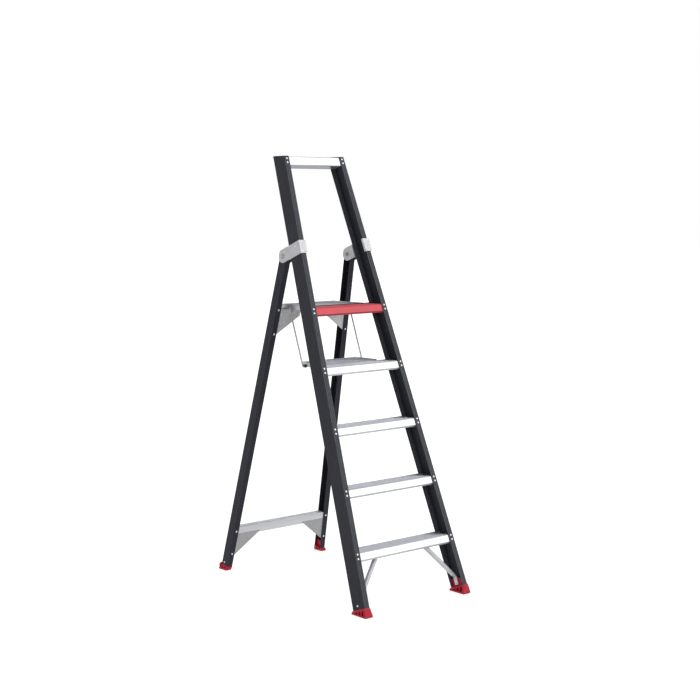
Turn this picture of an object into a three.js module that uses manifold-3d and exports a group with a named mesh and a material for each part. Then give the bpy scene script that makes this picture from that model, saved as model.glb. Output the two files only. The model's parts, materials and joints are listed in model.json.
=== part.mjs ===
// Folding platform step ladder: four treads, a red-fronted top platform, a second
// deck behind the fourth tread, and a rear frame hinged to the front frame.
// Millimetres. +X is the user's right, +Y points to the rear, +Z is up, and the
// origin is on the ground under the middle of the opened ladder.
import * as THREE from "three";
import { mergeVertices } from "three/addons/utils/BufferGeometryUtils.js";
import { ConvexGeometry } from "three/addons/geometries/ConvexGeometry.js";
import Module from "manifold-3d";

const wasm = await Module();
wasm.setup();

// Driving dimensions
const FRONT_LEAN = THREE.MathUtils.degToRad(20);
const REAR_LEAN = THREE.MathUtils.degToRad(14.3);
const FRONT_FACE_Y = -510.6; // the front frame's face meets the ground here
const REAR_FACE_Y = 453.9; // and the rear frame's face here
const TOTAL_HEIGHT = 1800;
const STEP_RISE = 235;
const STEP_COUNT = 4;
const STEP_TOP = 3; // height of a step's surface above its nominal rise
const PLATFORM_TOP = 1181;
const DECK_TOP = 946;
const GAP = 0.3; // left between pieces that touch
const PIVOT = { y: 121, z: 1383.9 };

// Channel sections of the front stiles and the rear legs, open towards the middle.
// half is the half width over the outer faces at the ground, taper its loss per mm of height.
const STILE = { half: 277.9, taper: 0.066, flange: 25.3, depth: 75.2, wall: 2.5, start: 42 };
const LEG = { half: 273.4, taper: 0.0637, flange: 26, depth: 43.9, wall: 2.5, start: 16.5 };
const LEG_ABOVE_PIVOT = 22;

const TREAD = { depth: 74.2, shallow: 72.4, drop: 36, sheet: 2.5, ribs: 9, rib: 1 };

// Rear braces. Along the frame, the web is as tall as `tall` and is set back below `web`;
// ledgeLean is the angle at which the ledge on top of it rises to the rear.
const BRACE = { sheet: 2.5, rib: 0.9, lip: 12 };
const BRACE_FACE = LEG.wall + GAP; // depth of the webs' front face behind the legs' face
const BRACE_BACK = BRACE_FACE + BRACE.sheet + GAP; // and of what lies against the webs' rear
const LOWER_BRACE = { top: 194, web: 28.5, tall: 41, deep: 27.5, ribs: 3, ledgeLean: REAR_LEAN };
const UPPER_BRACE = { top: 1160.8, web: 0, tall: 12.4, deep: 42, ribs: 5, ledgeLean: 0 };

// Corner gussets on the webs' set-back part: below and knee are measured along the frame
// from the brace's top, inner and tipX across the ladder, tip is the outer end's height
const LOWER_GUSSET = { below: LOWER_BRACE.web + GAP, knee: 35.1, inner: 120, tip: 67, tipX: 240 };
const UPPER_GUSSET = { below: 5.3, knee: 35.1, inner: 68, tip: 1053, tipX: 178 };

// Fold-up panels: the hinge pin lies ahead of the panel, the rod pin at its arms
const HINGE_DEPTH = 93.5; // of the panels' hinge pins behind the front frame's face
const HINGE_BELOW_TOP = 17;
const PANEL_AHEAD = 10; // the panels' front edge lies this far ahead of the hinge pins
const ROD_REACH = 103.8; // level, from a panel's hinge pin to its rod pin
const PLATFORM_REAR = 205.4;
const DECK_REAR = 56.4;
const ARM_X = 143; // inner face of the panels' side arms
const ARM_THICK = 3;
const ROD_X = 160;
const ROD_RADIUS = 3.2;
const PIN_RADIUS = 3;
const PLATFORM_LOBE = 14.5; // radius of the arms' lobes round the rod pins
const DECK_LOBE = 6.5;
const ACROSS = 400; // cutting bars reach this far to both sides, past the whole ladder

// Materials
const finish = (color, roughness, metalness) => ({ color, roughness, metalness });
const ANTHRACITE = finish(0x303136, 0.55, 0.3);
const ALUMINIUM = finish(0xc9cacd, 0.35, 0.9);
const PLATE = finish(0xaeb0b2, 0.45, 0.85);
const RED_COAT = finish(0xc4202e, 0.4, 0.1);
const RED_PLASTIC = finish(0xb3101f, 0.5, 0);
const BLACK_PLASTIC = finish(0x1b1b1d, 0.6, 0);
const STEEL = finish(0xb8babd, 0.3, 0.95);

// Solids
function solid(geometry) {
  const bare = new THREE.BufferGeometry();
  bare.setAttribute("position", geometry.attributes.position.clone());
  if (geometry.index) bare.setIndex(geometry.index.clone());
  const merged = mergeVertices(bare, 1e-4);
  return new wasm.Manifold(
    new wasm.Mesh({
      numProp: 3,
      vertProperties: new Float32Array(merged.attributes.position.array),
      triVerts: new Uint32Array(merged.index.array),
    }),
  );
}

function geometryOf(manifold) {
  const mesh = manifold.getMesh();
  const geometry = new THREE.BufferGeometry();
  geometry.setAttribute("position", new THREE.BufferAttribute(mesh.vertProperties, 3));
  geometry.setIndex(new THREE.BufferAttribute(mesh.triVerts, 1));
  return geometry;
}

const joined = (first, ...rest) => rest.reduce((sum, piece) => sum.add(piece), first);
const without = (first, ...rest) => rest.reduce((left, piece) => left.subtract(piece), first);

function outline(points) {
  return new THREE.Shape(points.map(([x, y]) => new THREE.Vector2(x, y)));
}

function extruded(shape, length) {
  return new THREE.ExtrudeGeometry(shape, { depth: length, bevelEnabled: false, curveSegments: 10 });
}

// Extrudes a section drawn in (Y, Z) along X
function alongX(shape, from, to) {
  const basis = new THREE.Matrix4().makeBasis(
    new THREE.Vector3(0, 1, 0),
    new THREE.Vector3(0, 0, 1),
    new THREE.Vector3(1, 0, 0),
  );
  return extruded(shape, to - from).applyMatrix4(basis).translate(from, 0, 0);
}

function box(x0, x1, y0, y1, z0, z1) {
  const size = [Math.abs(x1 - x0), Math.abs(y1 - y0), Math.abs(z1 - z0)];
  return new THREE.BoxGeometry(...size).translate((x0 + x1) / 2, (y0 + y1) / 2, (z0 + z1) / 2);
}

function roundBar(x0, x1, y, z, radius, sides = 20) {
  const bar = new THREE.CylinderGeometry(radius, radius, Math.abs(x1 - x0), sides);
  return bar.rotateZ(Math.PI / 2).translate((x0 + x1) / 2, y, z);
}

function hull(points) {
  return new ConvexGeometry(points.map(([x, y, z]) => new THREE.Vector3(x, y, z)));
}

function part(parent, name, look, body, at = [0, 0, 0]) {
  const geometry = body.isBufferGeometry ? body : geometryOf(body);
  const mesh = new THREE.Mesh(geometry, new THREE.MeshStandardMaterial(look));
  mesh.name = name;
  mesh.position.set(...at);
  parent.add(mesh);
  return mesh;
}

// Frames: X across, Y behind the frame's face, Z up along the frame
const ladder = new THREE.Group();
const frontFrame = new THREE.Group();
frontFrame.position.y = FRONT_FACE_Y;
frontFrame.rotation.x = -FRONT_LEAN;
const rearFrame = new THREE.Group();
rearFrame.position.y = REAR_FACE_Y;
rearFrame.rotation.x = REAR_LEAN;
ladder.add(frontFrame, rearFrame);
ladder.updateMatrixWorld(true);

const frontPoint = (x, depth, along) => frontFrame.localToWorld(new THREE.Vector3(x, depth, along));
const rearPoint = (x, depth, along) => rearFrame.localToWorld(new THREE.Vector3(x, depth, along));
const inFront = (x, y, z) => frontFrame.worldToLocal(new THREE.Vector3(x, y, z));
const inRear = (x, y, z) => rearFrame.worldToLocal(new THREE.Vector3(x, y, z));
const frontFaceY = (z) => FRONT_FACE_Y + z * Math.tan(FRONT_LEAN);
const rearFaceY = (z) => REAR_FACE_Y - z * Math.tan(REAR_LEAN);

const stileSplay = Math.atan(STILE.taper * Math.cos(FRONT_LEAN));
const legSplay = Math.atan(LEG.taper * Math.cos(REAR_LEAN));
const stileHalf = (along) => STILE.half - along * Math.tan(stileSplay);
const legHalf = (along) => LEG.half - along * Math.tan(legSplay);

const FRAME_DEPTH = new THREE.Vector3(0, 1, 0);

// Turns a solid drawn against a channel's outer face into its frame's coordinates
function splayed(geometry, side, half, splay) {
  return geometry.rotateY(-side * splay).translate(side * half, 0, 0);
}

// A C channel drawn from its outer face: grooves run along its front and its web
function channelSection(side, { flange, depth, wall }, webGrooves) {
  const cut = 0.7;
  const halfWidth = 1.1;
  const corner = 1.2;
  const points = [[-corner, 0]];
  for (const x of [0.34 * flange, 0.68 * flange]) {
    points.push([-x + halfWidth, 0], [-x + halfWidth / 2, cut]);
    points.push([-x - halfWidth / 2, cut], [-x - halfWidth, 0]);
  }
  points.push([-flange, 0], [-flange, wall], [-wall, wall], [-wall, depth - wall]);
  points.push([-flange, depth - wall], [-flange, depth], [-corner, depth], [0, depth - corner]);
  for (let i = webGrooves; i > 0; i -= 1) {
    const y = (depth * i) / (webGrooves + 1);
    points.push([0, y + halfWidth], [-cut, y + halfWidth / 2]);
    points.push([-cut, y - halfWidth / 2], [0, y - halfWidth]);
  }
  points.push([0, corner]);
  return outline(points.map(([x, y]) => [side * x, y]));
}

// Front stiles, cut square at the foot and level at the top
const CAP = 6; // thickness of the caps on the stiles
const STILE_BLANK = 1960; // length of a stile before its top is cut level
const stileCutHeight = TOTAL_HEIGHT - CAP;

function frontStile(side) {
  const channel = extruded(channelSection(side, STILE, 4), STILE_BLANK - STILE.start);
  channel.translate(0, 0, STILE.start);
  const above = box(-ACROSS, ACROSS, -600, 600, stileCutHeight, stileCutHeight + 400);
  above.applyMatrix4(frontFrame.matrixWorld.clone().invert());
  return without(solid(splayed(channel, side, STILE.half, stileSplay)), solid(above));
}

function stileCap(side) {
  const z = stileCutHeight;
  const along = inFront(0, frontFaceY(z), z).z;
  const outer = stileHalf(along) + 0.8;
  const inner = stileHalf(along) - STILE.flange;
  const front = frontFaceY(z) + 3.5;
  const rear = frontFaceY(z) + STILE.depth / Math.cos(FRONT_LEAN) - 1;
  const profile = outline([
    [front, z + GAP],
    [rear, z + GAP],
    [rear, z + 1.8],
    [rear - 2.5, TOTAL_HEIGHT - 1.4],
    [rear - 8, TOTAL_HEIGHT],
    [front + 0.8, TOTAL_HEIGHT],
    [front, TOTAL_HEIGHT - 0.8],
  ]);
  return side > 0 ? alongX(profile, inner, outer) : alongX(profile, -outer, -inner);
}

// Guard rail across the top, a hollow rounded section with flat tabs behind the flanges
const RAIL = { low: 1874.5, high: 1914.5, deep: 42, wall: 2.2, corner: 5 };

function roundedSection(y0, y1, z0, z1, radius) {
  const shape = new THREE.Shape();
  shape.absarc(y1 - radius, z1 - radius, radius, 0, Math.PI / 2);
  shape.absarc(y0 + radius, z1 - radius, radius, Math.PI / 2, Math.PI);
  shape.absarc(y0 + radius, z0 + radius, radius, Math.PI, 1.5 * Math.PI);
  shape.absarc(y1 - radius, z0 + radius, radius, 1.5 * Math.PI, 2 * Math.PI);
  return shape;
}

function topRail() {
  const face = STILE.wall + GAP;
  const { low, high, deep, wall, corner } = RAIL;
  const section = roundedSection(face, face + deep, low, high, corner);
  const inside = [face + wall, face + deep - wall, low + wall, high - wall, corner - wall];
  section.holes.push(roundedSection(...inside));
  const reach = stileHalf(high) - STILE.flange - 0.8;
  const tabReach = stileHalf(high) - STILE.wall - 2.5;
  const settings = { depth: 2 * reach, bevelEnabled: false, curveSegments: 4 };
  const tube = new THREE.ExtrudeGeometry(section, settings);
  const turned = new THREE.Matrix4().makeBasis(
    new THREE.Vector3(0, 1, 0),
    new THREE.Vector3(0, 0, 1),
    new THREE.Vector3(1, 0, 0),
  );
  tube.applyMatrix4(turned).translate(-reach, 0, 0);
  const tab = (side) =>
    solid(box(side * (reach - 6), side * tabReach, face, face + wall, low + 6, high - 8));
  return joined(solid(tube), tab(-1), tab(1));
}

// A tread's sections, drawn from the point where its surface meets the frame's face.
// z is the height below the surface, depth is square to the leaning face.
const leaning = (depth, z) => [depth / Math.cos(FRONT_LEAN) + z * Math.tan(FRONT_LEAN), z];

function treadWalls() {
  const face = STILE.wall + GAP;
  const back = STILE.depth - STILE.wall - GAP;
  const { drop, sheet } = TREAD;
  const front = [
    leaning(face, -3.2),
    leaning(face, -28),
    leaning(face + 6, -drop),
    leaning(face + 17, -drop),
    leaning(face + 17, -drop + sheet),
    leaning(face + 7, -drop + sheet),
    leaning(face + sheet, -27),
    leaning(face + sheet, -3.2),
  ];
  const rear = [
    leaning(back, -3.2),
    leaning(back - sheet, -3.2),
    leaning(back - sheet, -drop + 8),
    leaning(back - 12, -drop + 8),
    leaning(back - 12, -drop + 8 - sheet),
    leaning(back, -drop + 8 - sheet),
  ];
  return [outline(front), outline(rear)];
}

function ribbedTop(y0, y1, sheet, rib, count) {
  const points = [[y0, -sheet - rib], [y0, -rib - 0.6], [y0 + 1, -rib]];
  const pitch = (y1 - y0) / count;
  for (let i = 0; i < count; i += 1) {
    const y = y0 + pitch * (i + 0.5);
    points.push([y - 1.7, -rib], [y - 1, 0], [y + 1, 0], [y + 1.7, -rib]);
  }
  points.push([y1 - 1, -rib], [y1, -rib - 0.6], [y1, -sheet - rib]);
  return outline(points);
}

function tread(top, rearDepth) {
  const along = inFront(0, frontFaceY(top), top).z;
  const rearAlong = along + TREAD.depth * Math.tan(FRONT_LEAN);
  const reach = stileHalf(rearAlong) - STILE.flange - 0.6;
  const tabReach = stileHalf(rearAlong) - STILE.wall - 1;
  const [front, rear] = treadWalls();
  const y0 = 1 / Math.cos(FRONT_LEAN);
  const y1 = leaning(rearDepth, -TREAD.sheet - TREAD.rib)[0];
  const surface = ribbedTop(y0, y1, TREAD.sheet, TREAD.rib, TREAD.ribs);
  return joined(
    solid(alongX(surface, -reach, reach)),
    solid(alongX(front, -tabReach, tabReach)),
    solid(alongX(rear, -tabReach, tabReach)),
  );
}

// Hinge strap: wraps the stile's front flange and runs back past the pivot
const pivotInFront = inFront(0, PIVOT.y, PIVOT.z);
const pivotInRear = inRear(0, PIVOT.y, PIVOT.z);
const STRAP = { width: 56, sheet: 4, joggle: 2.5 };

// Keeps what lies ahead of the pivot, or within the strap's round end about it
function roundEnd(y, z) {
  const reach = STRAP.width / 2;
  return joined(
    solid(box(-ACROSS, ACROSS, -50, y, z - reach, z + reach)),
    solid(roundBar(-ACROSS, ACROSS, y, z, reach, 40)),
  );
}

function hingeStrap(side) {
  const { width, sheet, joggle } = STRAP;
  const inner = STILE.flange + GAP;
  const outer = GAP + sheet;
  const behind = STILE.depth + 5;
  const end = pivotInFront.y + width;
  const section = [
    [-inner - sheet, 6],
    [-inner - sheet, -outer],
    [outer, -outer],
    [outer, behind],
    [outer + joggle, behind + 6],
    [outer + joggle, end],
    [GAP + joggle, end],
    [GAP + joggle, behind + 7],
    [GAP, behind + 1],
    [GAP, -GAP],
    [-inner, -GAP],
    [-inner, 6],
  ];
  const z = pivotInFront.z / Math.cos(stileSplay);
  const strap = extruded(outline(section.map(([x, y]) => [side * x, y])), 2 * width);
  strap.translate(0, 0, z - width);
  const bolt = solid(roundBar(-ACROSS, ACROSS, pivotInFront.y, pivotInFront.z, 5.2));
  const body = solid(splayed(strap, side, STILE.half, stileSplay));
  return body.intersect(roundEnd(pivotInFront.y, pivotInFront.z)).subtract(bolt);
}

// Inner hinge plate: bent off the stile's rear flange
const INNER_PLATE_X = 153.5;
const INNER_PLATE_REACH = 177; // its foot on the stile's rear flange ends here

function hingePlate(side) {
  const { width } = STRAP;
  const sheet = 3;
  const back = STILE.depth + GAP;
  const section = [
    [INNER_PLATE_X, pivotInFront.y + width],
    [INNER_PLATE_X, back],
    [INNER_PLATE_REACH, back],
    [INNER_PLATE_REACH, back + sheet],
    [INNER_PLATE_X + sheet, back + sheet],
    [INNER_PLATE_X + sheet, pivotInFront.y + width],
  ];
  const plate = extruded(outline(section.map(([x, y]) => [side * x, y])), 2 * width);
  plate.translate(0, 0, pivotInFront.z - width);
  const bolt = solid(roundBar(-ACROSS, ACROSS, pivotInFront.y, pivotInFront.z, 5.2));
  return solid(plate).intersect(roundEnd(pivotInFront.y, pivotInFront.z)).subtract(bolt);
}

const BOLT_RADIUS = 4.8;
const strapOuterX = stileHalf(pivotInFront.z) + GAP + STRAP.sheet + STRAP.joggle;

function pivotBolt(side) {
  const shank = roundBar(side * 146.8, side * (strapOuterX + 2), 0, 0, BOLT_RADIUS);
  const head = new THREE.CylinderGeometry(6.5, 9, 4.6, 24).rotateZ((-side * Math.PI) / 2);
  head.translate(side * (strapOuterX + 1 + 2.3), 0, 0);
  return joined(solid(shank), solid(head));
}

function pivotNut(side) {
  const nut = roundBar(side * 147.6, side * 153.2, 0, 0, 8.2, 6);
  return without(solid(nut), solid(roundBar(side * 140, side * 160, 0, 0, BOLT_RADIUS + GAP)));
}

function pivotBush(side) {
  const outer = roundBar(side * 157, side * 181.9, 0, 0, 8.6, 24);
  return without(solid(outer), solid(roundBar(side * 150, side * 190, 0, 0, BOLT_RADIUS + 0.4)));
}

// Feet: a plug inside the channel and a flared shoe down to a level sole
const FRONT_SOLE = { front: -509.1, rear: -422.6, inner: 243, outer: 281.5, pocket: 7 };
const REAR_SOLE = { front: 449, rear: 509.1, inner: 252.4, outer: 280.4, pocket: 5 };

function ring(frame, side, splay, section, along, grow) {
  const { half, flange, depth } = section;
  const corners = [];
  for (const x of [grow, -flange - grow]) {
    for (const y of [-grow, depth + grow]) {
      const at = new THREE.Vector3(side * x, y, along).applyAxisAngle(FRAME_DEPTH, -side * splay);
      at.x += side * half;
      corners.push(frame.localToWorld(at).toArray());
    }
  }
  return corners;
}

function soleCorners(side, { front, rear, inner, outer }, z, inset) {
  const corners = [];
  for (const x of [inner + inset, outer - inset]) {
    for (const y of [front + inset, rear - inset]) corners.push([side * x, y, z]);
  }
  return corners;
}

function plug(side, frame, { half, flange, depth, wall }, splay, from, to) {
  const block = hull([
    ...[from, to].flatMap((z) =>
      [wall + GAP, flange - 9.5].flatMap((x) => [
        [-side * x, wall + GAP, z],
        [-side * x, depth - wall - GAP, z + (z === to ? 4 : 0)],
      ]),
    ),
  ]);
  return solid(splayed(block, side, half, splay).applyMatrix4(frame.matrixWorld));
}

// Moulding pockets in both flanks of a shoe: level floors, tops that follow the channel's cut
function pockets(side, { inner, outer, pocket }, slots) {
  return slots.flatMap(([from, to, top]) =>
    [[inner - 9, inner + pocket + 3], [outer - pocket, outer + 9]].map(([x0, x1]) =>
      solid(box(side * x0, side * x1, from, to, 7, top)),
    ),
  );
}

function frontFoot(side) {
  const collar = STILE.start - GAP;
  const shoe = hull([
    ...ring(frontFrame, side, stileSplay, STILE, collar, 1),
    ...ring(frontFrame, side, stileSplay, STILE, collar - 5, 1.6),
    ...soleCorners(side, FRONT_SOLE, 5, 0),
    ...soleCorners(side, FRONT_SOLE, 0, 1.5),
  ]);
  const slots = [-496, -478, -460].map((y) => [y, y + 13, 26.5 - (y + 496) * Math.tan(FRONT_LEAN)]);
  const body = without(solid(shoe), ...pockets(side, FRONT_SOLE, slots));
  return body.add(plug(side, frontFrame, STILE, stileSplay, collar - 6, 71));
}

function rearFoot(side) {
  const collar = LEG.start - GAP;
  const heel = LEG.depth + 0.6;
  const { inner, outer, rear } = REAR_SOLE;
  const shoe = hull([
    ...ring(rearFrame, side, legSplay, LEG, collar, 0.8),
    ...soleCorners(side, { ...REAR_SOLE, rear: rear - 4 }, 4, 0),
    ...soleCorners(side, { ...REAR_SOLE, rear: rear - 4 }, 0, 1.5),
  ]);
  const low = rearPoint(0, heel, -7);
  const high = rearPoint(0, heel, 20);
  const tongue = hull(
    [[inner + 0.8, 5], [outer - 0.8, -5]].flatMap(([x, taper]) => [
      [side * x, low.y, low.z],
      [side * x, high.y, high.z],
      [side * (x + taper), rear - 9, 29],
      [side * (x + taper), rear - 0.5, 20],
      [side * (x + taper), rear, 3],
      [side * (x + taper), rear - 1.5, 0],
      [side * x, rear - 9, 0],
    ]),
  );
  const slots = [[455, 468, 13], [473, 486, 17.5]];
  const body = without(joined(solid(shoe), solid(tongue)), ...pockets(side, REAR_SOLE, slots));
  return body.add(plug(side, rearFrame, LEG, legSplay, collar - 4, 44));
}

// Struts from the feet to the underside of the first tread: tube with flattened ends
const STRUT = { radius: 9.5, depth: 41, tabX: 257, thick: 3.4 };

function strut(side) {
  const { radius, depth, tabX, thick } = STRUT;
  const under = STEP_RISE + STEP_TOP - TREAD.rib - TREAD.sheet - GAP;
  const bendX = tabX - thick / 2 - 0.8;
  const start = frontPoint(side * (bendX - 9), depth, 92);
  const roof = frontPoint(side * 112, depth, 250);
  roof.z = under - radius - 5;
  const axis = roof.clone().sub(start);
  const upright = new THREE.Vector3(0, 1, 0);
  const turn = new THREE.Quaternion().setFromUnitVectors(upright, axis.clone().normalize());
  const tube = new THREE.CylinderGeometry(radius, radius, axis.length(), 16);
  tube.applyQuaternion(turn).translate(...start.clone().add(roof).multiplyScalar(0.5).toArray());
  const circle = (centre, inwards) =>
    Array.from({ length: 12 }, (_, i) => {
      const angle = (i * Math.PI) / 6;
      const spoke = new THREE.Vector3(Math.cos(angle) * radius, inwards, Math.sin(angle) * radius);
      return spoke.applyQuaternion(turn).add(centre).toArray();
    });
  const tabCorners = (along) =>
    [tabX - thick, tabX].flatMap((x) =>
      [-radius, radius].map((offset) => frontPoint(side * x, depth + offset, along).toArray()),
    );
  const padCorners = (x) =>
    [under - thick, under].flatMap((z) =>
      [-radius, radius].map((offset) => [side * x, roof.y + offset, z]),
    );
  return joined(
    solid(tube),
    solid(hull([...circle(start, 2), ...tabCorners(78)])),
    solid(hull([...tabCorners(78.5), ...tabCorners(46)])),
    solid(hull([...circle(roof, -2), ...padCorners(96)])),
    solid(hull([...padCorners(96.5), ...padCorners(68)])),
  );
}

// Rear legs
function rearLeg(side) {
  const top = pivotInRear.z + LEG_ABOVE_PIVOT;
  const channel = extruded(channelSection(side, LEG, 2), top - LEG.start).translate(0, 0, LEG.start);
  const hole = solid(roundBar(-ACROSS, ACROSS, pivotInRear.y, pivotInRear.z, BOLT_RADIUS + 0.6));
  return solid(splayed(channel, side, LEG.half, legSplay)).subtract(hole);
}

// Rear braces: a ledge on a leaning web, tabs behind the legs' flanges
function braceWeb({ web, tall }, from, reach) {
  const { sheet } = BRACE;
  const setBack = [
    [BRACE_BACK, -tall],
    [BRACE_BACK + sheet, -tall],
  ];
  const straight = [[BRACE_BACK, from], ...setBack, [BRACE_BACK + sheet, from]];
  const joggled = [
    [BRACE_FACE, from],
    [BRACE_FACE, -web],
    [BRACE_BACK, -web],
    ...setBack,
    [BRACE_BACK + sheet, sheet - web],
    [BRACE_FACE + sheet, 2 * sheet - web],
    [BRACE_FACE + sheet, from],
  ];
  const section = outline(web > 0 ? joggled : straight);
  return solid(alongX(section, -reach, reach).rotateX(REAR_LEAN));
}

function brace(spec) {
  const { top, deep, ribs, ledgeLean } = spec;
  const { sheet, rib, lip } = BRACE;
  const along = inRear(0, rearFaceY(top), top).z;
  const reach = legHalf(along) - LEG.flange - 0.8;
  const tabReach = legHalf(along) - LEG.wall - 2;
  const between = REAR_LEAN - ledgeLean; // the ledge's angle off square to the web
  const front = BRACE_FACE / Math.cos(between) + rib * Math.tan(between);
  const rear = front + deep;
  const ledge = alongX(ribbedTop(front, rear, sheet, rib, ribs), -reach, reach);
  const rearLip = box(-reach, reach, rear - sheet, rear, -lip, -rib - sheet + 0.5);
  const webTop = -rib - sheet / 2 - BRACE_BACK * Math.tan(between);
  return joined(
    solid(ledge.rotateX(ledgeLean)),
    solid(rearLip.rotateX(ledgeLean)),
    braceWeb(spec, webTop, reach),
    braceWeb(spec, webTop - 0.5, tabReach),
  );
}

// Corner gussets, held between the legs' flanges and the braces' set-back webs
function gusset(side, { top }, { below, knee, inner, tip, tipX }) {
  const alongOf = (z) => inRear(0, rearFaceY(z), z).z;
  const high = alongOf(top) - below;
  const low = alongOf(tip);
  const foot = low - 6;
  const edge = (along) => legHalf(along) - LEG.wall - 2;
  const points = [
    [inner, high],
    [edge(high), high],
    [edge(foot), foot],
    [edge(foot) - 15, foot],
    [tipX, low],
    [inner, alongOf(top) - knee],
  ];
  const basis = new THREE.Matrix4().makeBasis(
    new THREE.Vector3(side, 0, 0),
    new THREE.Vector3(0, 0, 1),
    new THREE.Vector3(0, -side, 0),
  );
  const plate = extruded(outline(points), BRACE.sheet).applyMatrix4(basis);
  return solid(plate.translate(0, side > 0 ? BRACE_FACE + BRACE.sheet : BRACE_FACE, 0));
}

// Fold-up panels: planks between two side arms, hinged behind a rail or tread
const hingeAt = (top) => {
  const z = top - HINGE_BELOW_TOP;
  return { y: frontFaceY(z) + HINGE_DEPTH / Math.cos(FRONT_LEAN), z };
};
const platformHinge = hingeAt(PLATFORM_TOP);
const deckHinge = hingeAt(DECK_TOP);
const rodPin = (hinge) => ({ y: hinge.y + ROD_REACH, z: hinge.z });

const PLANK = { skirt: 20, sheet: 2.2, rib: 0.9, capX: 142.6, endX: 138.4, seam: 1.4, ribPitch: 9 };

function plank(front, rear, ribs) {
  const { skirt, sheet, rib, endX } = PLANK;
  const top = ribbedTop(front, rear, sheet, rib, ribs);
  const lip = (y0, y1) => solid(box(-endX, endX, y0, y1, -skirt, -rib - sheet + 0.5));
  return joined(solid(alongX(top, -endX, endX)), lip(front, front + sheet), lip(rear - sheet, rear));
}

function plankCap(side, front, rear) {
  const { skirt, capX, endX } = PLANK;
  return box(side * (endX + GAP), side * capX, front + 0.5, rear - 0.5, -skirt, 0);
}

function panelArm(side, hinge, top, rear, lobe) {
  const pin = rodPin(hinge);
  const x0 = side * ARM_X;
  const x1 = side * (ARM_X + ARM_THICK);
  const under = top - PLANK.skirt;
  const low = pin.z - 0.75 * lobe;
  const web = hull(
    [x0, x1].flatMap((x) => [
      [x, pin.y - 2 * lobe, under],
      [x, pin.y + 1.6 * lobe, under],
      [x, pin.y + 0.65 * lobe, low],
      [x, pin.y - 0.65 * lobe, low],
    ]),
  );
  return without(
    joined(
      solid(box(x0, x1, hinge.y - PANEL_AHEAD + 1, rear, under, top - 0.6)),
      solid(roundBar(x0, x1, hinge.y, hinge.z, 8.5, 28)),
      solid(web),
      solid(roundBar(x0, x1, pin.y, pin.z, lobe, 32)),
    ),
    solid(roundBar(-ACROSS, ACROSS, hinge.y, hinge.z, PIN_RADIUS + GAP)),
    solid(roundBar(-ACROSS, ACROSS, pin.y, pin.z, ROD_RADIUS + 0.5)),
  );
}

// Lugs on the rear wall of the rail or tread, and the pins through them
function hingeLug(side, hinge) {
  const at = inFront(0, hinge.y, hinge.z);
  const x0 = ARM_X + ARM_THICK + 1.2;
  const x1 = x0 + 3;
  const wallBack = STILE.depth - STILE.wall;
  const low = at.z - 20;
  const ear = joined(
    solid(box(side * x0, side * x1, wallBack + 2.9, at.y, low, at.z + 4)),
    solid(roundBar(side * x0, side * x1, at.y, at.z, 6.5, 24)),
    solid(hull([x0, x1].flatMap((x) => [
      [side * x, wallBack + 2.9, low],
      [side * x, wallBack + 2.9, at.z],
      [side * x, at.y + 4, at.z - 4],
    ]))),
  );
  const foot = solid(box(side * x0, side * (x0 + 19), wallBack + GAP, wallBack + 3.2, low, at.z + 2));
  const hole = solid(roundBar(-ACROSS, ACROSS, at.y, at.z, PIN_RADIUS + GAP));
  return joined(ear, foot).subtract(hole);
}

function hingePin(side) {
  const shank = roundBar(side * (ARM_X + 0.2), side * 151.6, 0, 0, PIN_RADIUS, 16);
  const head = roundBar(side * 150.8, side * 152.6, 0, 0, 5.4, 20);
  return joined(solid(shank), solid(head));
}

// Link rods, bent inwards at both ends, parallel to the front stiles
const rodLength = (PLATFORM_TOP - DECK_TOP) / Math.cos(FRONT_LEAN);

function linkRod(side) {
  const upper = rodPin(platformHinge);
  const lower = rodPin(deckHinge);
  const run = new THREE.CylinderGeometry(ROD_RADIUS, ROD_RADIUS, rodLength, 12);
  run.rotateX(Math.PI / 2 - FRONT_LEAN);
  run.translate(side * ROD_X, (upper.y + lower.y) / 2, (upper.z + lower.z) / 2);
  const hook = ({ y, z }) => solid(roundBar(side * (ARM_X + 0.2), side * ROD_X, y, z, ROD_RADIUS, 12));
  const elbow = ({ y, z }) => {
    const ball = new THREE.SphereGeometry(ROD_RADIUS, 12, 8);
    return solid(ball.translate(side * ROD_X, y, z));
  };
  return joined(solid(run), hook(upper), hook(lower), elbow(upper), elbow(lower));
}

// A plastic clip on each deck arm holds the rod's lower hook with clearance
function rodClip(side) {
  const pin = rodPin(deckHinge);
  const x0 = side * (ARM_X + ARM_THICK + GAP);
  const x1 = side * (ARM_X + ARM_THICK + 5.6);
  const block = box(x0, x1, pin.y - 6, pin.y + 8, pin.z - 6, pin.z + 7);
  return without(solid(block), solid(roundBar(-ACROSS, ACROSS, pin.y, pin.z, ROD_RADIUS + 0.6)));
}

// Assembly
const SIDES = [["left", -1], ["right", 1]];

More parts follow.
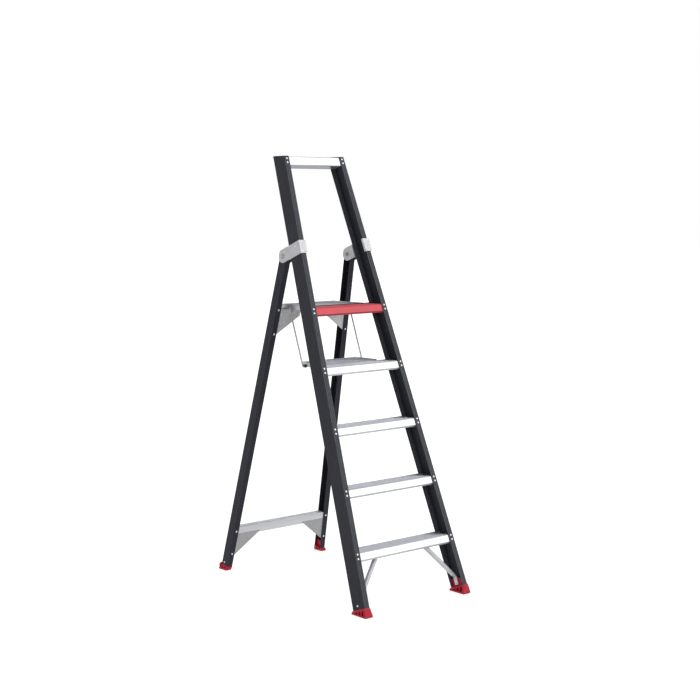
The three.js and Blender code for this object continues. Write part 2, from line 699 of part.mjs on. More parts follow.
for (const [name, side] of SIDES) {
  part(frontFrame, `front_stile_${name}`, ANTHRACITE, frontStile(side));
  part(frontFrame, `hinge_strap_${name}`, PLATE, hingeStrap(side));
  part(frontFrame, `hinge_plate_${name}`, PLATE, hingePlate(side));
  part(rearFrame, `rear_leg_${name}`, ANTHRACITE, rearLeg(side));
  part(ladder, `pivot_bolt_${name}`, STEEL, pivotBolt(side), [0, PIVOT.y, PIVOT.z]);
  part(ladder, `pivot_nut_${name}`, STEEL, pivotNut(side), [0, PIVOT.y, PIVOT.z]);
  part(ladder, `pivot_bush_${name}`, BLACK_PLASTIC, pivotBush(side), [0, PIVOT.y, PIVOT.z]);
  part(ladder, `stile_cap_${name}`, BLACK_PLASTIC, stileCap(side));
  part(ladder, `front_foot_${name}`, RED_PLASTIC, frontFoot(side));
  part(ladder, `rear_foot_${name}`, RED_PLASTIC, rearFoot(side));
  part(ladder, `strut_${name}`, ALUMINIUM, strut(side));
  part(rearFrame, `lower_gusset_${name}`, PLATE, gusset(side, LOWER_BRACE, LOWER_GUSSET));
  part(rearFrame, `upper_gusset_${name}`, PLATE, gusset(side, UPPER_BRACE, UPPER_GUSSET));
  part(frontFrame, `platform_lug_${name}`, PLATE, hingeLug(side, platformHinge));
  part(frontFrame, `deck_lug_${name}`, PLATE, hingeLug(side, deckHinge));
  part(ladder, `platform_pin_${name}`, STEEL, hingePin(side), [0, platformHinge.y, platformHinge.z]);
  part(ladder, `deck_pin_${name}`, STEEL, hingePin(side), [0, deckHinge.y, deckHinge.z]);
  const platformArm = panelArm(side, platformHinge, PLATFORM_TOP, PLATFORM_REAR, PLATFORM_LOBE);
  part(ladder, `platform_arm_${name}`, ALUMINIUM, platformArm);
  part(ladder, `deck_arm_${name}`, ALUMINIUM, panelArm(side, deckHinge, DECK_TOP, DECK_REAR, DECK_LOBE));
  part(ladder, `link_rod_${name}`, STEEL, linkRod(side));
  part(ladder, `rod_clip_${name}`, BLACK_PLASTIC, rodClip(side));
}

part(frontFrame, "top_rail", ALUMINIUM, topRail());
for (let i = 1; i <= STEP_COUNT; i += 1) {
  const top = i * STEP_RISE + STEP_TOP;
  const rearDepth = i < STEP_COUNT ? STILE.depth : TREAD.shallow;
  part(ladder, `tread_${i}`, ALUMINIUM, tread(top, rearDepth), [0, frontFaceY(top), top]);
}
const railTop = (STEP_COUNT + 1) * STEP_RISE + STEP_TOP;
part(ladder, "platform_rail", RED_COAT, tread(railTop, TREAD.shallow), [0, frontFaceY(railTop), railTop]);

const onRearFace = ({ top }) => [0, rearFaceY(top), top];
part(ladder, "lower_brace", ALUMINIUM, brace(LOWER_BRACE), onRearFace(LOWER_BRACE));
part(ladder, "upper_brace", ALUMINIUM, brace(UPPER_BRACE), onRearFace(UPPER_BRACE));

function panel(name, hinge, top, rear, planks) {
  const front = hinge.y - PANEL_AHEAD;
  const pitch = (rear - front + PLANK.seam) / planks.length;
  const ribs = Math.round(pitch / PLANK.ribPitch);
  planks.forEach((label, i) => {
    const y = front + i * pitch;
    part(ladder, `${name}_plank${label}`, ALUMINIUM, plank(0, pitch - PLANK.seam, ribs), [0, y, top]);
  });
  for (const [sideName, side] of SIDES) {
    part(ladder, `${name}_cap_${sideName}`, BLACK_PLASTIC, plankCap(side, front, rear), [0, 0, top]);
  }
}

panel("platform", platformHinge, PLATFORM_TOP, PLATFORM_REAR, ["_front", "_rear"]);
panel("deck", deckHinge, DECK_TOP, DECK_REAR, ["_front", "_rear"]);

export default ladder;
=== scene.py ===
"""A folding platform step ladder, finished for rendering on its CAD frame. Metres, +Z up."""
import json
import math

import bmesh
import bpy
from mathutils import Matrix, Vector


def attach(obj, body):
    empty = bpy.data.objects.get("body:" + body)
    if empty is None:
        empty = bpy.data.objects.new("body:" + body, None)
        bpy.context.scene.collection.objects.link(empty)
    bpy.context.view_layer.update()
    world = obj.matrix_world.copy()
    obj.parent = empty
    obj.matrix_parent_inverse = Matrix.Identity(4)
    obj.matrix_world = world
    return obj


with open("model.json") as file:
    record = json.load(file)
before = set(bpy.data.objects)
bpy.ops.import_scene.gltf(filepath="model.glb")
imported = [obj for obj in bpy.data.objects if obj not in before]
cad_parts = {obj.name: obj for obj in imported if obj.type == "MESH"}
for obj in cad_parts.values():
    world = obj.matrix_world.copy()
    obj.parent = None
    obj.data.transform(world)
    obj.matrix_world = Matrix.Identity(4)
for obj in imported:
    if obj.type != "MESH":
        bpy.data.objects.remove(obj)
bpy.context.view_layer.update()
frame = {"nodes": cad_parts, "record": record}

NODES = frame["nodes"]
SIDES = (("left", -1), ("right", 1))

# The two leaning frames of the ladder, in metres and radians
FRONT_LEAN = math.radians(20)
REAR_LEAN = math.radians(14.3)
FRONT_FACE_Y = -0.5106
REAR_FACE_Y = 0.4539
# Half widths over the channels at the ground, their loss per metre up the frame and of height
STILE_HALF, STILE_TAPER, STILE_FALL = 0.2779, 0.0620, 0.066
LEG_HALF, LEG_TAPER, LEG_FALL = 0.2734, 0.0617, 0.0637
STEP_RISE = 0.235
LEVELS = 5


def front_point(x, depth, along):
    """A point given by its depth behind the front frame's face and its distance up the frame."""
    y = FRONT_FACE_Y + depth * math.cos(FRONT_LEAN) + along * math.sin(FRONT_LEAN)
    return Vector((x, y, along * math.cos(FRONT_LEAN) - depth * math.sin(FRONT_LEAN)))


def rear_point(x, depth, along):
    """The same for the rear frame."""
    y = REAR_FACE_Y + depth * math.cos(REAR_LEAN) - along * math.sin(REAR_LEAN)
    return Vector((x, y, along * math.cos(REAR_LEAN) + depth * math.sin(REAR_LEAN)))


FRONT_OUT = Vector((0, -math.cos(FRONT_LEAN), math.sin(FRONT_LEAN)))
REAR_OUT = Vector((0, -math.cos(REAR_LEAN), -math.sin(REAR_LEAN)))


# ---------------------------------------------------------------- materials

# Linear colours
COAT = (0.0125, 0.013, 0.019)
# Painted light: the coat's paler tone where it faces the front, as if lit
FRONT_LIT_COAT = (0.046, 0.050, 0.058)
SILVER = (0.50, 0.505, 0.525)
EDGE_TINT = (0.30, 0.305, 0.33, 1.0)
GREY_SHEET = (0.375, 0.375, 0.387)
RED = (0.40, 0.045, 0.058)
RED_MOULDING = (0.27, 0.001, 0.015)
DUST = (0.40, 0.30, 0.30)
BLACK = (0.016, 0.016, 0.018)
ZINC = (0.27, 0.275, 0.285)
RIVET_ALLOY = (0.62, 0.625, 0.64)

X_AXIS = 0
UPWARD_PAINTED_SHADE = 0.66  # painted shade: the share of its tone that a ribbed surface facing up keeps


class Graph:
    """Small helper round one material's node tree."""

    def __init__(self, name):
        self.material = bpy.data.materials.new(name)
        self.material.use_nodes = True
        self.tree = self.material.node_tree
        self.shader = self.tree.nodes["Principled BSDF"]
        self.place = self.add("ShaderNodeTexCoord").outputs["Object"]
        self.normal = self.place.node.outputs["Normal"]

    def add(self, kind, **settings):
        node = self.tree.nodes.new(kind)
        for key, value in settings.items():
            setattr(node, key, value)
        return node

    def link(self, source, target):
        self.tree.links.new(source, target)

    def noise(self, scale, detail=3.0, roughness=0.55, stretch=(1, 1, 1), distortion=0.0):
        mapping = self.add("ShaderNodeMapping")
        mapping.inputs["Scale"].default_value = stretch
        self.link(self.place, mapping.inputs["Vector"])
        noise = self.add("ShaderNodeTexNoise")
        noise.inputs["Scale"].default_value = scale
        noise.inputs["Detail"].default_value = detail
        noise.inputs["Roughness"].default_value = roughness
        noise.inputs["Distortion"].default_value = distortion
        self.link(mapping.outputs["Vector"], noise.inputs["Vector"])
        return noise.outputs["Fac"]

    def ranged(self, value, low, high, to_low=0.0, to_high=1.0):
        node = self.add("ShaderNodeMapRange")
        limits = {"From Min": low, "From Max": high, "To Min": to_low, "To Max": to_high}
        for key, number in limits.items():
            node.inputs[key].default_value = number
        self.link(value, node.inputs["Value"])
        return node.outputs["Result"]

    def math(self, operation, a, b):
        node = self.add("ShaderNodeMath", operation=operation)
        for socket, value in zip(node.inputs, (a, b)):
            if isinstance(value, (int, float)):
                socket.default_value = value
            else:
                self.link(value, socket)
        return node.outputs["Value"]

    def mixed(self, factor, a, b, blend="MIX"):
        node = self.add("ShaderNodeMix", data_type="RGBA", blend_type=blend)
        # A Mix node's factor and its two colours, which share their names with its other kinds
        sockets = (node.inputs[0], node.inputs[6], node.inputs[7])
        for socket, value in zip(sockets, (factor, a, b)):
            if isinstance(value, (int, float)):
                socket.default_value = value
            elif isinstance(value, tuple):
                socket.default_value = (*value, 1.0)
            else:
                self.link(value, socket)
        return node.outputs[2]

    def edges(self, radius=0.0012):
        """1 on worn edges, broken up by noise."""
        rounded = self.add("ShaderNodeBevel", samples=6)
        rounded.inputs["Radius"].default_value = radius
        facing = self.add("ShaderNodeVectorMath", operation="DOT_PRODUCT")
        self.link(rounded.outputs["Normal"], facing.inputs[0])
        self.link(self.add("ShaderNodeNewGeometry").outputs["Normal"], facing.inputs[1])
        worn = self.ranged(facing.outputs["Value"], 0.995, 0.93)
        return self.math("MULTIPLY", worn, self.ranged(self.noise(90, 4), 0.4, 0.62))

    def part_of_normal(self, axis):
        split = self.add("ShaderNodeSeparateXYZ")
        self.link(self.normal, split.inputs["Vector"])
        return split.outputs[axis]

    def part_of_place(self, axis):
        split = self.add("ShaderNodeSeparateXYZ")
        self.link(self.place, split.inputs["Vector"])
        return split.outputs[axis]

    def turned_to(self, direction, low, high):
        """1 where the surface faces the direction, fading to 0."""
        facing = self.add("ShaderNodeVectorMath", operation="DOT_PRODUCT")
        self.link(self.normal, facing.inputs[0])
        facing.inputs[1].default_value = direction
        return self.ranged(facing.outputs["Value"], low, high)

    def bump(self, layers):
        """Stacks (height, strength, distance) layers into the shader's normal."""
        previous = None
        for height, strength, distance in layers:
            node = self.add("ShaderNodeBump")
            node.inputs["Strength"].default_value = strength
            node.inputs["Distance"].default_value = distance
            self.link(height, node.inputs["Height"])
            if previous is not None:
                self.link(previous, node.inputs["Normal"])
            previous = node.outputs["Normal"]
        self.link(previous, self.shader.inputs["Normal"])

    def finish(self, colour, roughness, metallic, specular=0.5):
        self.link(colour, self.shader.inputs["Base Color"])
        self.link(roughness, self.shader.inputs["Roughness"])
        self.shader.inputs["Metallic"].default_value = metallic
        self.shader.inputs["Specular IOR Level"].default_value = specular
        return self.material


def scaled(colour, factor):
    return tuple(channel * factor for channel in colour)


def shade_upwards(graph, tone, shade):
    """Paints shade on what faces up, the ribs' flanks included, with a bluish cast."""
    upwards = graph.ranged(graph.part_of_normal("Z"), 0.4, 0.55)
    shaded = graph.mixed(1.0, tone, (shade, shade * 1.01, shade * 1.07), "MULTIPLY")
    return graph.mixed(upwards, tone, shaded)


def powder_coat(name, colour, rubbed, wear, specular):
    """Fine textured powder coat, a little uneven in tone and rubbed paler on its edges."""
    graph = Graph(name)
    broad = graph.ranged(graph.noise(5, 3), 0.35, 0.65)
    speck = graph.ranged(graph.noise(1400, 2), 0.35, 0.7)
    tone = graph.mixed(broad, scaled(colour, 0.9), scaled(colour, 1.1))
    tone = graph.mixed(graph.math("MULTIPLY", speck, 0.3), tone, scaled(colour, 1.4))
    tone = graph.mixed(graph.math("MULTIPLY", graph.edges(), wear), tone, rubbed)
    rough = graph.ranged(graph.noise(60, 4, stretch=(1, 1, 0.15)), 0.3, 0.7, 0.4, 0.52)
    peel = graph.noise(900, 2)
    grit = graph.noise(2600, 1)
    graph.bump([(peel, 0.3, 0.0002), (grit, 0.2, 0.0001)])
    return graph, tone, rough, specular


def anthracite_coat():
    """The frames' coat, with painted light making the stiles' front faces paler."""
    graph, tone, rough, specular = powder_coat("anthracite_coat", COAT, scaled(COAT, 3), 0.5, 0.13)
    # Painted light: faces turned to the front are made paler, as if lit, in vertical streaks
    lit_front = graph.turned_to(FRONT_OUT, 0.93, 0.98)
    streaks = graph.ranged(graph.noise(170, 3, stretch=(1, 1, 0.01)), 0.35, 0.65, 0.55, 1.0)
    tone = graph.mixed(graph.math("MULTIPLY", lit_front, streaks), tone, FRONT_LIT_COAT)
    return graph.finish(tone, rough, 0.0, specular)


def red_coat():
    """The platform rail's coat, with painted shade darkening its top and the lip below."""
    graph, tone, rough, specular = powder_coat("red_coat", RED, scaled(RED, 1.2), 0.3, 0.25)
    # Painted shade: the faces turned up and the lip turned down are darkened
    height = graph.part_of_normal("Z")
    tone = graph.mixed(graph.ranged(height, 0.6, 0.9), tone, scaled(RED, 0.15))
    tone = graph.mixed(graph.ranged(height, -0.1, -0.5), tone, scaled(RED, 0.4))
    return graph.finish(tone, rough, 0.0, specular)


def extruded_aluminium(name, colour, along, top_shade=1.0, metallic=0.9):
    """Mill finish drawn along one axis: die lines, soft tone bands, light scuffs."""
    graph = Graph(name)
    stretch = tuple(0.012 if axis == along else 1.0 for axis in range(3))
    lines = graph.noise(520, 3, stretch=stretch)
    bands = graph.noise(45, 2, stretch=stretch)
    scuff = graph.ranged(graph.noise(38, 6, 0.7, distortion=1.5), 0.56, 0.72)
    tone = graph.mixed(graph.ranged(bands, 0.35, 0.65), scaled(colour, 0.9), scaled(colour, 1.05))
    tone = graph.mixed(graph.ranged(lines, 0.4, 0.75, 0, 0.3), tone, scaled(colour, 0.72))
    tone = graph.mixed(graph.math("MULTIPLY", scuff, 0.22), tone, scaled(colour, 0.68))
    # Painted shade on the faces turned up
    if top_shade != 1.0:
        tone = shade_upwards(graph, tone, top_shade)
    tone = graph.mixed(graph.math("MULTIPLY", graph.edges(), 0.3), tone, scaled(colour, 1.15))
    worn = graph.math("ADD", graph.math("MULTIPLY", lines, 0.7), graph.math("MULTIPLY", scuff, 0.4))
    rough = graph.ranged(worn, 0.2, 0.9, 0.34, 0.56)
    beneath = graph.ranged(graph.part_of_normal("Z"), -0.5, -0.8, 1.0, 0.3)
    rough = graph.math("MULTIPLY", rough, beneath)
    graph.bump([(lines, 0.25, 0.0002), (graph.noise(700, 2), 0.08, 0.0001)])
    graph.shader.inputs["Specular Tint"].default_value = EDGE_TINT
    return graph.finish(tone, rough, metallic)


def sheet_metal(name, colour, metallic=0.5):
    """Flat rolled sheet: faint mottling, a rolling direction, scratches, painted shade near the floor."""
    graph = Graph(name)
    mottle = graph.ranged(graph.noise(70, 5, 0.65), 0.35, 0.65)
    rolled = graph.noise(420, 3, stretch=(1, 0.06, 0.06))
    scratch = graph.ranged(graph.noise(120, 2, stretch=(0.25, 2.2, 1.6), distortion=3), 0.66, 0.7)
    tone = graph.mixed(mottle, scaled(colour, 0.87), scaled(colour, 1.08))
    tone = graph.mixed(graph.ranged(rolled, 0.4, 0.7, 0, 0.22), tone, scaled(colour, 0.75))
    # Painted shade: the sheet gets darker towards the floor
    low_painted_shade = graph.ranged(graph.part_of_place("Z"), 0.2, 0.9, 0.62, 0.0)
    tone = graph.mixed(low_painted_shade, tone, scaled(colour, 0.5))
    tone = graph.mixed(graph.math("MULTIPLY", scratch, 0.3), tone, scaled(colour, 1.3))
    tone = graph.mixed(graph.math("MULTIPLY", graph.edges(), 0.6), tone, scaled(colour, 1.35))
    rough = graph.ranged(graph.noise(90, 4), 0.3, 0.7, 0.36, 0.55)
    graph.bump([(rolled, 0.15, 0.0002), (mottle, 0.05, 0.0003)])
    return graph.finish(tone, rough, metallic)


def moulded_plastic(name, colour, dull):
    """Spark-textured moulding with scuffed edges and a little dust low down."""
    graph = Graph(name)
    broad = graph.ranged(graph.noise(28, 4), 0.35, 0.65)
    tone = graph.mixed(broad, scaled(colour, 0.84), scaled(colour, 1.14))
    scuffs = graph.ranged(graph.noise(110, 6, 0.75, distortion=0.8), 0.58, 0.74)
    tone = graph.mixed(graph.math("MULTIPLY", scuffs, 0.07), tone, DUST)
    tone = graph.mixed(graph.math("MULTIPLY", graph.edges(), 0.1), tone, DUST)
    rough = graph.ranged(graph.noise(160, 3), 0.3, 0.7, dull - 0.08, dull + 0.1)
    graph.bump([(graph.noise(1500, 2), 0.4, 0.0002), (graph.noise(220, 2), 0.12, 0.0003)])
    return graph.finish(tone, rough, 0.0, 0.2)


def bright_steel(name, colour):
    """Zinc-plated steel with fine turning marks."""
    graph = Graph(name)
    mottle = graph.ranged(graph.noise(160, 4), 0.35, 0.65)
    tone = graph.mixed(mottle, scaled(colour, 0.82), scaled(colour, 1.1))
    rough = graph.ranged(graph.noise(500, 3), 0.3, 0.7, 0.24, 0.44)
    graph.bump([(graph.noise(1100, 2, stretch=(1, 0.3, 0.3)), 0.2, 0.0002)])
    return graph.finish(tone, rough, 0.7)


MATERIALS = {
    "anthracite_coat": anthracite_coat(),
    "aluminium": extruded_aluminium("aluminium", SILVER, X_AXIS, UPWARD_PAINTED_SHADE, 0.85),
    "plate": sheet_metal("plate", GREY_SHEET),
    "red_coat": red_coat(),
    "red_plastic": moulded_plastic("red_plastic", RED_MOULDING, 0.42),
    "black_plastic": moulded_plastic("black_plastic", BLACK, 0.5),
    "steel": bright_steel("steel", ZINC),
}
RIVET_FINISH = bright_steel("rivet_alloy", RIVET_ALLOY)
STRUT_FINISH = extruded_aluminium("strut_aluminium", scaled(SILVER, 0.8), X_AXIS, metallic=0.35)


SOFT_EDGE = 0.0004
SHARP_FROM = math.radians(40)  # the CAD's edges above this are softened, a rivet's stay crisp
SMOOTH_UP_TO = math.radians(32)


def dress_nodes():
    """Gives every CAD node its slot's material, softened edges and smooth shading."""
    slots = {entry["node"]: entry["material_slot"] for entry in frame["record"]["subparts"]}
    for name, node in NODES.items():
        look = STRUT_FINISH if name.startswith("strut_") else MATERIALS[slots[name]]
        node.data.materials.clear()
        node.data.materials.append(look)
        for polygon in node.data.polygons:
            polygon.use_smooth = True
        node.data.set_sharp_from_angle(angle=SMOOTH_UP_TO)
        bevel = node.modifiers.new("soft_edges", "BEVEL")
        bevel.width = SOFT_EDGE
        bevel.segments = 2
        bevel.limit_method = "ANGLE"
        bevel.angle_limit = SHARP_FROM
        bevel.harden_normals = True


# ---------------------------------------------------------------- rivets

def revolved(name, profile, steps=20):
    """A solid of revolution about Z from (radius, height) points."""
    mesh = bpy.data.meshes.new(name)
    shape = bmesh.new()
    rings = []
    for radius, height in profile:
        if radius == 0:
            rings.append([shape.verts.new((0, 0, height))])
            continue
        turn = [2 * math.pi * i / steps for i in range(steps)]
        rings.append([shape.verts.new((radius * math.cos(a), radius * math.sin(a), height)) for a in turn])
    for low, high in zip(rings, rings[1:]):
        for i in range(steps):
            j = (i + 1) % steps
            if len(low) == 1:
                shape.faces.new((low[0], high[i], high[j]))
            elif len(high) == 1:
                shape.faces.new((low[i], high[0], low[j]))
            else:
                shape.faces.new((low[i], high[i], high[j], low[j]))
    bmesh.ops.recalc_face_normals(shape, faces=shape.faces)
    for face in shape.faces:
        face.smooth = True
    shape.to_mesh(mesh)
    shape.free()
    mesh.set_sharp_from_angle(angle=SHARP_FROM)
    return mesh


RIVET_SUNK = 0.0003  # how far the heads reach into the sheet under them
DOME_STEPS = 6  # the last one would fall inside the mandrel's hole and is left out


def rivet_mesh(name, radius, height):
    """A blind rivet's dome with the broken end of its mandrel in the middle."""
    hole = radius * 0.3
    profile = [(0, -RIVET_SUNK), (radius, -RIVET_SUNK), (radius, height * 0.2)]
    for i in range(1, DOME_STEPS - 1):
        angle = i / DOME_STEPS * math.pi / 2
        across = radius * math.cos(angle) * 0.98 + hole * 0.02
        profile.append((across, height * (0.2 + 0.8 * math.sin(angle))))
    profile += [(hole, height), (hole * 0.95, height * 0.72), (0, height * 0.78)]
    return revolved(name, profile)


RIVET = rivet_mesh("rivet_head", 0.0042, 0.0016)
SMALL_RIVET = rivet_mesh("small_rivet_head", 0.0030, 0.0010)
for head in (RIVET, SMALL_RIVET):
    head.materials.append(RIVET_FINISH)


def put_rivet(name, at, out, body, mesh=RIVET):
    """Sets a rivet on a surface whose outward direction is `out`."""
    rivet = bpy.data.objects.new(name, mesh)
    bpy.context.scene.collection.objects.link(rivet)
    turn = Vector((0, 0, 1)).rotation_difference(out).to_matrix().to_4x4()
    rivet.matrix_world = Matrix.Translation(at) @ turn
    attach(rivet, body)


def along_at(height):
    """Distance up the front frame's face of a point at this height."""
    return height / math.cos(FRONT_LEAN)


def rear_along_at(height):
    """The same for the rear frame."""
    return height / math.cos(REAR_LEAN)


TREAD_RIVET_BELOW = 0.0094
TREAD_RIVET_SPREAD = 0.00825
STILE_RIVET_LINE = 0.2651
TOP_RAIL_RIVET_HEIGHT = 1.781


def stile_rivets(side_name, side):
    """Pairs through the stile's front flange into each tread and the top rail."""
    heights = [level * STEP_RISE - TREAD_RIVET_BELOW for level in range(1, LEVELS + 1)]
    heights.append(TOP_RAIL_RIVET_HEIGHT)
    for row, middle in enumerate(heights, 1):
        for end, shift in (("low", -TREAD_RIVET_SPREAD), ("high", TREAD_RIVET_SPREAD)):
            height = middle + shift
            x = side * (STILE_RIVET_LINE - STILE_FALL * height)
            at = front_point(x, 0, along_at(height))
            put_rivet(f"tread_rivet_{row}_{end}_{side_name}", at, FRONT_OUT, "front_frame")


STRAP_FACE = 0.0043  # the strap's outer surface off the stile
STRAP_RIVETS = {"low": 1.497, "high": 1.5375}
STRAP_RIVET_X = 0.1755
STRAP_SIDE_RIVET = {"depth": 0.031, "along": 1.528}
PLATE_RIVETS = {"low": (0.1705, 1.4947), "high": (0.168, 1.5346)}
PLATE_FACE = 0.0785  # depth of the inner hinge plate's foot
CLEAR = 0.0001  # keeps a head's seat just off the side it sits on


def strap_rivets(side_name, side):
    """Two through the strap's front, one through its side, two in the inner plate's foot."""
    for label, along in STRAP_RIVETS.items():
        at = front_point(side * STRAP_RIVET_X, -STRAP_FACE, along)
        put_rivet(f"strap_rivet_{label}_{side_name}", at, FRONT_OUT, "front_frame")
    along = STRAP_SIDE_RIVET["along"]
    x = side * (STILE_HALF - STILE_TAPER * along + STRAP_FACE + CLEAR)
    at = front_point(x, STRAP_SIDE_RIVET["depth"], along)
    put_rivet(f"strap_rivet_side_{side_name}", at, Vector((side, 0, 0)), "front_frame")
    for label, (x, along) in PLATE_RIVETS.items():
        at = front_point(side * x, PLATE_FACE, along)
        put_rivet(f"plate_rivet_{label}_{side_name}", at, -FRONT_OUT, "front_frame")


LEG_RIVET_LINE = 0.2598
GUSSET_RIVET_HEIGHTS = (0.0743, 0.1775, 1.0544, 1.1571)


def leg_rivets(side_name, side):
    """Through the legs' flanges into the gussets, above and below each brace's corner."""
    for row, height in enumerate(GUSSET_RIVET_HEIGHTS, 1):
        x = side * (LEG_RIVET_LINE - LEG_FALL * height)
        at = rear_point(x, 0, rear_along_at(height))
        put_rivet(f"leg_rivet_{row}_{side_name}", at, REAR_OUT, "rear_frame")


# Depth behind the frame's face and distance up the frame of the rivets at the feet
FRONT_FOOT_RIVET = (0.041, 0.056)
STRUT_RIVET = (0.041, 0.060)
STRUT_TAB_X = 0.2536
REAR_FOOT_RIVET = (0.0265, 0.0275)
REAR_WEB_ALONG = 0.027  # where up the leg its web's X is taken


def foot_rivets(side_name, side):
    """One through each channel's web into the foot's plug, and one in the strut's tab."""
    out = Vector((side, 0, 0))
    web = side * (STILE_HALF - STILE_TAPER * FRONT_FOOT_RIVET[1] + CLEAR)
    put_rivet(f"front_foot_rivet_{side_name}", front_point(web, *FRONT_FOOT_RIVET), out, "front_frame")
    tab = front_point(side * STRUT_TAB_X, *STRUT_RIVET)
    put_rivet(f"strut_rivet_{side_name}", tab, -out, "front_frame")
    web = side * (LEG_HALF - LEG_TAPER * REAR_WEB_ALONG)
    put_rivet(f"rear_foot_rivet_{side_name}", rear_point(web, *REAR_FOOT_RIVET), out, "rear_frame")


# Each panel's hinge (Y, Z) and its rear end's Y
PANELS = {"platform": (0.01256, 1.164, 0.2054), "deck": (-0.07297, 0.929, 0.0564)}
ARM_OUTER_X = 0.146
ARM_RIVET = {"behind_hinge": 0.036, "before_rear": 0.008, "above_hinge": 0.006}
LUG_FOOT_X, LUG_FOOT_DEPTH = 0.1585, 0.0759
LUG_RIVETS = {"low": -0.014, "high": -0.003}  # up the frame from the hinge


def panel_rivets(side_name, side):
    """Small rivets through the side arms into the planks, and two in each hinge lug's foot."""
    out = Vector((side, 0, 0))
    for panel, (hinge_y, hinge_z, rear) in PANELS.items():
        places = {"front": hinge_y + ARM_RIVET["behind_hinge"]}
        if panel == "platform":
            places["rear"] = rear - ARM_RIVET["before_rear"]
        for label, y in places.items():
            at = Vector((side * ARM_OUTER_X, y, hinge_z + ARM_RIVET["above_hinge"]))
            put_rivet(f"{panel}_arm_rivet_{label}_{side_name}", at, out, panel, SMALL_RIVET)
        offset = hinge_y - FRONT_FACE_Y
        along = offset * math.sin(FRONT_LEAN) + hinge_z * math.cos(FRONT_LEAN)
        for label, shift in LUG_RIVETS.items():
            at = front_point(side * LUG_FOOT_X, LUG_FOOT_DEPTH, along + shift)
            name = f"{panel}_lug_rivet_{label}_{side_name}"
            put_rivet(name, at, -FRONT_OUT, "front_frame", SMALL_RIVET)


# ---------------------------------------------------------------- trim

RAIL_TOP = 1.178
PANEL_TOP = 1.181
BEAD_HALF = 0.182
BEAD_REAR = -0.0052
BEAD_THICK = 0.0045
BEAD_CHAMFER = 0.001
BEAD_GAP = 0.0002  # between the bead and the rail under it


def platform_bead():
    """A black bead along the red rail's rear edge, closing the step up to the platform."""
    low, high = RAIL_TOP + BEAD_GAP, PANEL_TOP
    front = BEAD_REAR - BEAD_THICK
    section = [
        (BEAD_REAR, low),
        (BEAD_REAR, high - BEAD_CHAMFER),
        (BEAD_REAR - BEAD_CHAMFER, high),
        (front + BEAD_CHAMFER, high),
        (front, high - BEAD_CHAMFER),
        (front, low),
    ]
    count = len(section)
    verts = [(x, y, z) for x in (-BEAD_HALF, BEAD_HALF) for y, z in section]
    faces = [tuple(range(count)), tuple(reversed(range(count, 2 * count)))]
    faces += [(i, i + count, (i + 1) % count + count, (i + 1) % count) for i in range(count)]
    mesh = bpy.data.meshes.new("platform_bead")
    mesh.from_pydata(verts, [], faces)
    shape = bmesh.new()
    shape.from_mesh(mesh)
    bmesh.ops.recalc_face_normals(shape, faces=shape.faces)
    shape.to_mesh(mesh)
    shape.free()
    mesh.materials.append(MATERIALS["black_plastic"])
    bead = bpy.data.objects.new("platform_bead", mesh)
    bpy.context.scene.collection.objects.link(bead)
    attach(bead, "front_frame")


# ---------------------------------------------------------------- stage, light, camera

# Each sun's direction, strength and angular size in degrees
SUNS = {"key": ((0.60, -0.65, 0.47), 1.2, 45), "fill": ((-0.55, -0.80, 0.22), 0.7, 60)}
FLOOR_HALF = 40
FLOOR_TONE, FLOOR_GLOW = 0.5, 0.62


def white_world():
    """Even white surroundings."""
    world = bpy.data.worlds.new("studio")
    bpy.context.scene.world = world
    world.use_nodes = True
    backdrop = world.node_tree.nodes["Background"]
    backdrop.inputs["Color"].default_value = (1, 1, 1, 1)
    backdrop.inputs["Strength"].default_value = 1.0


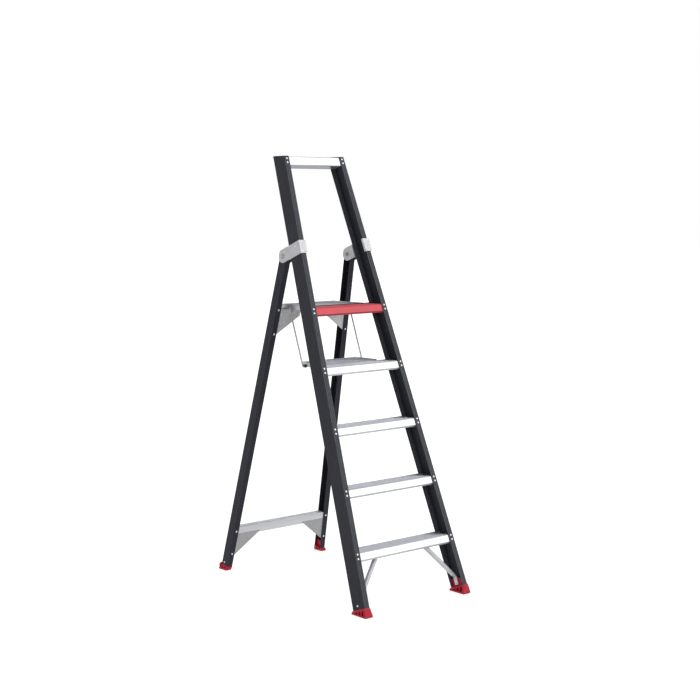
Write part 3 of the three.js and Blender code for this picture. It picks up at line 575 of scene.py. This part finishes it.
def pale_floor():
    """A plain floor that glows a little, so that it stays as pale as the surroundings."""
    mesh = bpy.data.meshes.new("floor")
    corners = [(-1, -1), (1, -1), (1, 1), (-1, 1)]
    mesh.from_pydata([(x * FLOOR_HALF, y * FLOOR_HALF, 0) for x, y in corners], [], [(0, 1, 2, 3)])
    floor = bpy.data.objects.new("floor", mesh)
    bpy.context.scene.collection.objects.link(floor)
    pale = bpy.data.materials.new("pale_floor")
    pale.use_nodes = True
    surface = pale.node_tree.nodes["Principled BSDF"]
    surface.inputs["Base Color"].default_value = (FLOOR_TONE, FLOOR_TONE, FLOOR_TONE, 1)
    surface.inputs["Emission Color"].default_value = (1, 1, 1, 1)
    surface.inputs["Emission Strength"].default_value = FLOOR_GLOW
    surface.inputs["Roughness"].default_value = 0.9
    mesh.materials.append(pale)


def soft_suns():
    """A large soft key from the front right and a weaker fill from the front left."""
    for name, (direction, strength, spread) in SUNS.items():
        sun = bpy.data.lights.new(name, "SUN")
        sun.energy = strength
        sun.angle = math.radians(spread)
        lamp = bpy.data.objects.new(name, sun)
        lamp.rotation_euler = Vector(direction).to_track_quat("Z", "Y").to_euler()
        bpy.context.scene.collection.objects.link(lamp)


CAMERA_AT = (-3.5938, -4.4922, 1.5614)
CAMERA_AIM = (39.184, 5.694, -0.4896)  # azimuth, downward tilt and roll in degrees
CAMERA_LENS, CAMERA_SENSOR = 70.79, 36


def camera():
    """Stands at eye height in front and to the left of the ladder."""
    azimuth, elevation, roll = (math.radians(a) for a in CAMERA_AIM)
    forward = Vector((
        math.sin(azimuth) * math.cos(elevation),
        math.cos(azimuth) * math.cos(elevation),
        -math.sin(elevation),
    ))
    level = Vector((math.cos(azimuth), -math.sin(azimuth), 0))
    upright = level.cross(forward)
    right = level * math.cos(roll) + upright * math.sin(roll)
    up = upright * math.cos(roll) - level * math.sin(roll)
    data = bpy.data.cameras.new("camera")
    data.lens = CAMERA_LENS
    data.sensor_width = CAMERA_SENSOR
    eye = bpy.data.objects.new("camera", data)
    turn = Matrix((right, up, -forward)).transposed().to_4x4()
    eye.matrix_world = Matrix.Translation(CAMERA_AT) @ turn
    bpy.context.scene.collection.objects.link(eye)
    bpy.context.scene.camera = eye


dress_nodes()
for side_name, side in SIDES:
    stile_rivets(side_name, side)
    strap_rivets(side_name, side)
    leg_rivets(side_name, side)
    foot_rivets(side_name, side)
    panel_rivets(side_name, side)
platform_bead()
white_world()
pale_floor()
soft_suns()
camera()
bpy.context.scene.view_settings.view_transform = "Standard"
